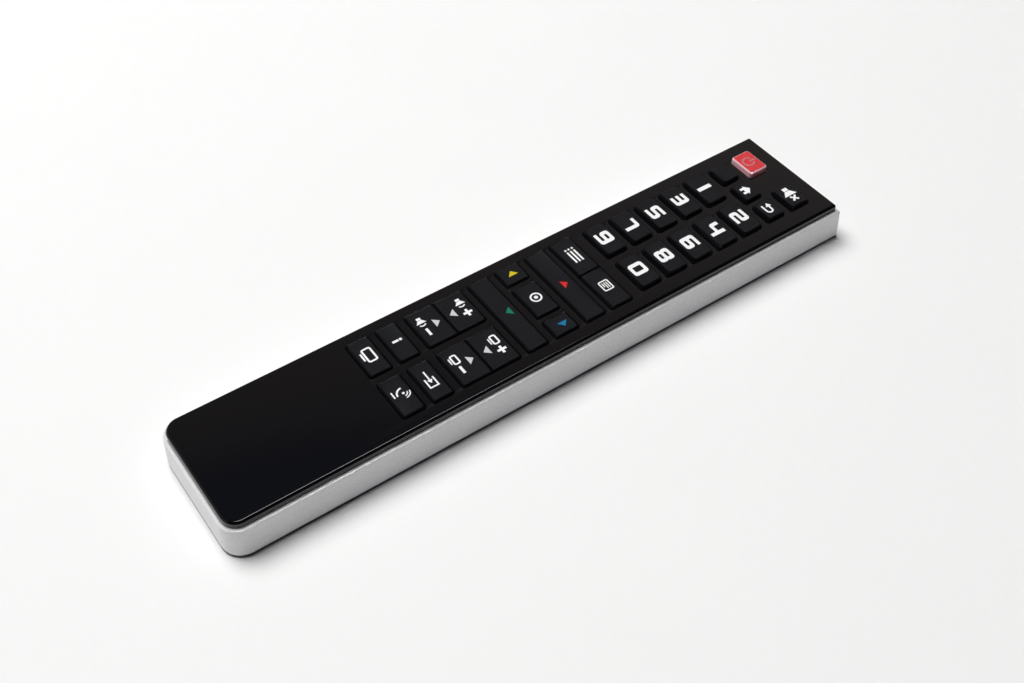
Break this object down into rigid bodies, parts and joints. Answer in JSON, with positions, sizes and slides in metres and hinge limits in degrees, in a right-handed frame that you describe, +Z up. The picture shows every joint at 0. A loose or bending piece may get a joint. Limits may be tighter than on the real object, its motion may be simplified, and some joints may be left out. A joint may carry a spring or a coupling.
{
  "type": "universal remote control",
  "caption": "Slim infrared remote control for television equipment, with sprung keys in a gloss faceplate, a silver frame and a sliding battery door.",
  "frame": {"origin": "middle of the footprint on the table, on the underside of the rear cover", "axes": "+Y along the length towards the infrared end, +Z up through the keys, +X to the right seen from above"},
  "size_m": [0.046, 0.2232, 0.0155],
  "materials": {
    "faceplate_gloss": "high gloss black",
    "silver_paint": "satin silver paint on plastic",
    "cover_black": "fine matt black",
    "door_black": "fine matt black",
    "key_rubber": "matt silicone rubber",
    "power_red": "red print on translucent silicone rubber",
    "mat_rubber": "matt silicone rubber",
    "board_green": "satin solder mask",
    "pad_carbon": "matt carbon print",
    "chip_black": "matt moulding",
    "resonator_orange": "dipped coating",
    "capacitor_sleeve": "shrink sleeve",
    "led_lens": "clear tinted resin",
    "lead_tin": "tinned",
    "window_dark": "dark red infrared filter",
    "cell_jacket": "gloss printed jacket",
    "contact_nickel": "nickel plated",
    "screw_steel": "zinc plated"
  },
  "bodies": {
    "housing": {"cell_left": "cell_jacket", "cell_right": "cell_jacket", "circuit_board": "board_green", "contact_pads": "pad_carbon", "controller_chip": "chip_black", "faceplate": "faceplate_gloss", "housing_screws": "screw_steel", "ir_led": "led_lens", "ir_window": "window_dark", "keypad_mat": "mat_rubber", "led_leads": "lead_tin", "minus_contact": "contact_nickel", "plus_contact": "contact_nickel", "rear_cover": "cover_black", "resonator": "resonator_orange", "series_contact": "contact_nickel", "silver_frame": "silver_paint", "smoothing_capacitor": "capacitor_sleeve", "spring_far": "contact_nickel", "spring_near": "contact_nickel"},
    "battery_door": {"battery_door": "door_black"},
    "key_0": {"key_0": "key_rubber"},
    "key_1": {"key_1": "key_rubber"},
    "key_2": {"key_2": "key_rubber"},
    "key_3": {"key_3": "key_rubber"},
    "key_4": {"key_4": "key_rubber"},
    "key_5": {"key_5": "key_rubber"},
    "key_6": {"key_6": "key_rubber"},
    "key_7": {"key_7": "key_rubber"},
    "key_8": {"key_8": "key_rubber"},
    "key_9": {"key_9": "key_rubber"},
    "key_channel_down": {"key_channel_down": "key_rubber"},
    "key_channel_up": {"key_channel_up": "key_rubber"},
    "key_down": {"key_down": "key_rubber"},
    "key_exit": {"key_exit": "key_rubber"},
    "key_guide": {"key_guide": "key_rubber"},
    "key_home": {"key_home": "key_rubber"},
    "key_info": {"key_info": "key_rubber"},
    "key_left": {"key_left": "key_rubber"},
    "key_mute": {"key_mute": "key_rubber"},
    "key_ok": {"key_ok": "key_rubber"},
    "key_plain": {"key_plain": "key_rubber"},
    "key_power": {"key_power": "power_red"},
    "key_right": {"key_right": "key_rubber"},
    "key_satellite": {"key_satellite": "key_rubber"},
    "key_source": {"key_source": "key_rubber"},
    "key_television": {"key_television": "key_rubber"},
    "key_text": {"key_text": "key_rubber"},
    "key_up": {"key_up": "key_rubber"},
    "key_volume_down": {"key_volume_down": "key_rubber"},
    "key_volume_up": {"key_volume_up": "key_rubber"}
  },
  "joints": [
    {"name": "battery_door_slide", "type": "slide", "parent": "housing", "child": "battery_door", "axis": [0, -1, 0], "range_m": [0, 0.05]},
    {"name": "key_0_press", "type": "slide", "parent": "housing", "child": "key_0", "axis": [0, 0, -1], "range_m": [0, 0.0008], "stiffness_N_per_m": 1200, "springref_m": -0.0002},
    {"name": "key_1_press", "type": "slide", "parent": "housing", "child": "key_1", "axis": [0, 0, -1], "range_m": [0, 0.0008], "stiffness_N_per_m": 1200, "springref_m": -0.0002},
    {"name": "key_2_press", "type": "slide", "parent": "housing", "child": "key_2", "axis": [0, 0, -1], "range_m": [0, 0.0008], "stiffness_N_per_m": 1200, "springref_m": -0.0002},
    {"name": "key_3_press", "type": "slide", "parent": "housing", "child": "key_3", "axis": [0, 0, -1], "range_m": [0, 0.0008], "stiffness_N_per_m": 1200, "springref_m": -0.0002},
    {"name": "key_4_press", "type": "slide", "parent": "housing", "child": "key_4", "axis": [0, 0, -1], "range_m": [0, 0.0008], "stiffness_N_per_m": 1200, "springref_m": -0.0002},
    {"name": "key_5_press", "type": "slide", "parent": "housing", "child": "key_5", "axis": [0, 0, -1], "range_m": [0, 0.0008], "stiffness_N_per_m": 1200, "springref_m": -0.0002},
    {"name": "key_6_press", "type": "slide", "parent": "housing", "child": "key_6", "axis": [0, 0, -1], "range_m": [0, 0.0008], "stiffness_N_per_m": 1200, "springref_m": -0.0002},
    {"name": "key_7_press", "type": "slide", "parent": "housing", "child": "key_7", "axis": [0, 0, -1], "range_m": [0, 0.0008], "stiffness_N_per_m": 1200, "springref_m": -0.0002},
    {"name": "key_8_press", "type": "slide", "parent": "housing", "child": "key_8", "axis": [0, 0, -1], "range_m": [0, 0.0008], "stiffness_N_per_m": 1200, "springref_m": -0.0002},
    {"name": "key_9_press", "type": "slide", "parent": "housing", "child": "key_9", "axis": [0, 0, -1], "range_m": [0, 0.0008], "stiffness_N_per_m": 1200, "springref_m": -0.0002},
    {"name": "key_channel_down_press", "type": "slide", "parent": "housing", "child": "key_channel_down", "axis": [0, 0, -1], "range_m": [0, 0.0008], "stiffness_N_per_m": 1200, "springref_m": -0.0002},
    {"name": "key_channel_up_press", "type": "slide", "parent": "housing", "child": "key_channel_up", "axis": [0, 0, -1], "range_m": [0, 0.0008], "stiffness_N_per_m": 1200, "springref_m": -0.0002},
    {"name": "key_down_press", "type": "slide", "parent": "housing", "child": "key_down", "axis": [0, 0, -1], "range_m": [0, 0.0008], "stiffness_N_per_m": 1200, "springref_m": -0.0002},
    {"name": "key_exit_press", "type": "slide", "parent": "housing", "child": "key_exit", "axis": [0, 0, -1], "range_m": [0, 0.0008], "stiffness_N_per_m": 1200, "springref_m": -0.0002},
    {"name": "key_guide_press", "type": "slide", "parent": "housing", "child": "key_guide", "axis": [0, 0, -1], "range_m": [0, 0.0008], "stiffness_N_per_m": 1200, "springref_m": -0.0002},
    {"name": "key_home_press", "type": "slide", "parent": "housing", "child": "key_home", "axis": [0, 0, -1], "range_m": [0, 0.0008], "stiffness_N_per_m": 1200, "springref_m": -0.0002},
    {"name": "key_info_press", "type": "slide", "parent": "housing", "child": "key_info", "axis": [0, 0, -1], "range_m": [0, 0.0008], "stiffness_N_per_m": 1200, "springref_m": -0.0002},
    {"name": "key_left_press", "type": "slide", "parent": "housing", "child": "key_left", "axis": [0, 0, -1], "range_m": [0, 0.0008], "stiffness_N_per_m": 1200, "springref_m": -0.0002},
    {"name": "key_mute_press", "type": "slide", "parent": "housing", "child": "key_mute", "axis": [0, 0, -1], "range_m": [0, 0.0008], "stiffness_N_per_m": 1200, "springref_m": -0.0002},
    {"name": "key_ok_press", "type": "slide", "parent": "housing", "child": "key_ok", "axis": [0, 0, -1], "range_m": [0, 0.0008], "stiffness_N_per_m": 1200, "springref_m": -0.0002},
    {"name": "key_plain_press", "type": "slide", "parent": "housing", "child": "key_plain", "axis": [0, 0, -1], "range_m": [0, 0.0008], "stiffness_N_per_m": 1200, "springref_m": -0.0002},
    {"name": "key_power_press", "type": "slide", "parent": "housing", "child": "key_power", "axis": [0, 0, -1], "range_m": [0, 0.0008], "stiffness_N_per_m": 1200, "springref_m": -0.0002},
    {"name": "key_right_press", "type": "slide", "parent": "housing", "child": "key_right", "axis": [0, 0, -1], "range_m": [0, 0.0008], "stiffness_N_per_m": 1200, "springref_m": -0.0002},
    {"name": "key_satellite_press", "type": "slide", "parent": "housing", "child": "key_satellite", "axis": [0, 0, -1], "range_m": [0, 0.0008], "stiffness_N_per_m": 1200, "springref_m": -0.0002},
    {"name": "key_source_press", "type": "slide", "parent": "housing", "child": "key_source", "axis": [0, 0, -1], "range_m": [0, 0.0008], "stiffness_N_per_m": 1200, "springref_m": -0.0002},
    {"name": "key_television_press", "type": "slide", "parent": "housing", "child": "key_television", "axis": [0, 0, -1], "range_m": [0, 0.0008], "stiffness_N_per_m": 1200, "springref_m": -0.0002},
    {"name": "key_text_press", "type": "slide", "parent": "housing", "child": "key_text", "axis": [0, 0, -1], "range_m": [0, 0.0008], "stiffness_N_per_m": 1200, "springref_m": -0.0002},
    {"name": "key_up_press", "type": "slide", "parent": "housing", "child": "key_up", "axis": [0, 0, -1], "range_m": [0, 0.0008], "stiffness_N_per_m": 1200, "springref_m": -0.0002},
    {"name": "key_volume_down_press", "type": "slide", "parent": "housing", "child": "key_volume_down", "axis": [0, 0, -1], "range_m": [0, 0.0008], "stiffness_N_per_m": 1200, "springref_m": -0.0002},
    {"name": "key_volume_up_press", "type": "slide", "parent": "housing", "child": "key_volume_up", "axis": [0, 0, -1], "range_m": [0, 0.0008], "stiffness_N_per_m": 1200, "springref_m": -0.0002}
  ]
}
